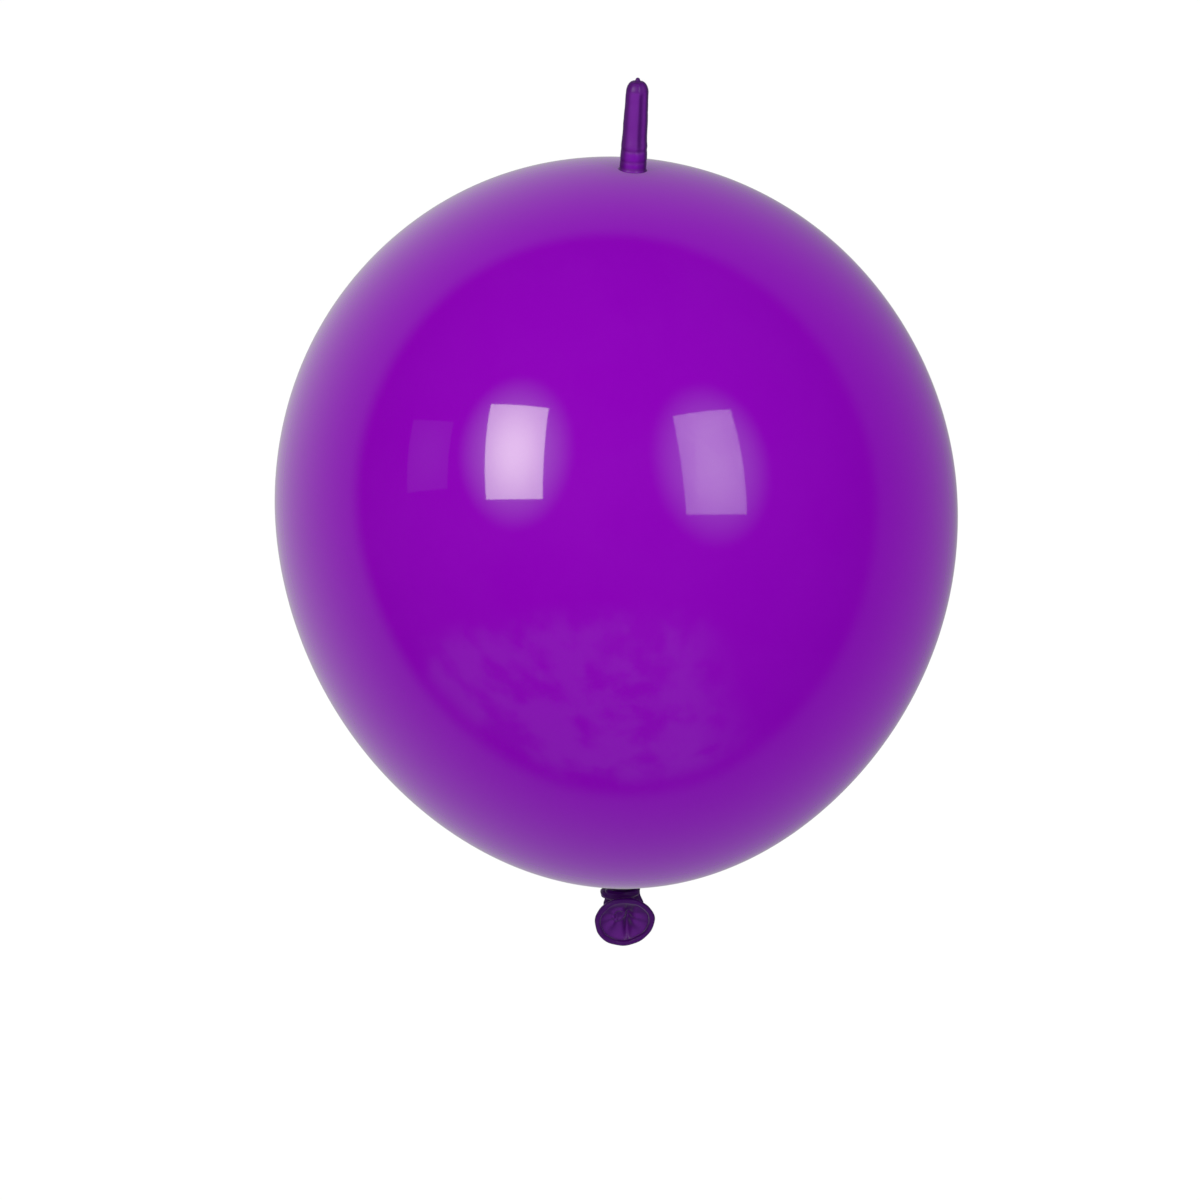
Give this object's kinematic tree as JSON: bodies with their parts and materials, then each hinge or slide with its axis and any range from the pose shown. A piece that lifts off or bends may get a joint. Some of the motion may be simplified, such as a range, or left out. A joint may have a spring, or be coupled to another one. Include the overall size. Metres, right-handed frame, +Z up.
{
  "type": "tail balloon",
  "caption": "Glossy round latex tail balloon, blown up and tied: a slack closed tail on the crown, and a knot below with the flared mouth and its rolled lip.",
  "frame": {"origin": "the middle of the tied neck, on the body's axis, between the body and the knot, where a ribbon or another balloon's neck is tied", "axes": "+Z up the body's axis, from the knot to the crown; -Y is the side that the flared mouth faces; +X is the side of the crown that the tail stands on"},
  "size_m": [0.25, 0.25, 0.3328],
  "materials": {
    "stretched_latex": "glossy",
    "slack_latex": "satin"
  },
  "bodies": {
    "body": {"envelope": "stretched_latex", "crown_boss": "slack_latex", "throat": "slack_latex"},
    "tail_root": {"tail_root": "slack_latex"},
    "tail_lower": {"tail_lower": "slack_latex"},
    "tail_middle": {"tail_middle": "slack_latex"},
    "tail_end": {"tail_upper": "slack_latex", "tail_tip": "slack_latex"},
    "neck": {"neck": "slack_latex"},
    "knot": {"knot_turn": "slack_latex", "knot_tuck": "slack_latex"},
    "mouth_stub": {"mouth_stub": "slack_latex"},
    "mouth": {"mouth_skirt": "slack_latex", "rolled_lip": "slack_latex"}
  },
  "joints": [
    {"name": "tail_side_low", "type": "hinge", "parent": "body", "child": "tail_root", "pos_m": [0.00965, 0, 0.27663], "axis": [0, 1, 0], "range_deg": [-40, 40], "stiffness_Nm_per_rad": 0.0006},
    {"name": "tail_fore_low", "type": "hinge", "parent": "tail_root", "child": "tail_lower", "pos_m": [0.01014, 0, 0.28361], "axis": [0.9976, 0, -0.0698], "range_deg": [-40, 40], "stiffness_Nm_per_rad": 0.0006},
    {"name": "tail_side_high", "type": "hinge", "parent": "tail_lower", "child": "tail_middle", "pos_m": [0.01063, 0, 0.29059], "axis": [0, 1, 0], "range_deg": [-40, 40], "stiffness_Nm_per_rad": 0.0006},
    {"name": "tail_fore_high", "type": "hinge", "parent": "tail_middle", "child": "tail_end", "pos_m": [0.01112, 0, 0.29758], "axis": [0.9976, 0, -0.0698], "range_deg": [-40, 40], "stiffness_Nm_per_rad": 0.0006},
    {"name": "neck_side", "type": "hinge", "parent": "body", "child": "neck", "pos_m": [0, 0, 0.0014], "axis": [0, 1, 0], "range_deg": [-26, 26], "stiffness_Nm_per_rad": 0.0006},
    {"name": "neck_fore", "type": "hinge", "parent": "neck", "child": "knot", "pos_m": [0, 0, -0.0006], "axis": [1, 0, 0], "range_deg": [-15, 25], "stiffness_Nm_per_rad": 0.0006},
    {"name": "mouth_nod", "type": "hinge", "parent": "knot", "child": "mouth_stub", "pos_m": [0, 0, -0.0102], "axis": [1, 0, 0], "range_deg": [-12, 60], "stiffness_Nm_per_rad": 0.0006},
    {"name": "mouth_turn", "type": "hinge", "parent": "mouth_stub", "child": "mouth", "pos_m": [0, -0.00207, -0.01351], "axis": [0, 0, 1], "range_deg": [-35, 35], "stiffness_Nm_per_rad": 0.0006}
  ],
  "couplings": [
    {"joint": "tail_side_high", "follows": "tail_side_low", "ratio": 1},
    {"joint": "tail_fore_high", "follows": "tail_fore_low", "ratio": 1}
  ]
}
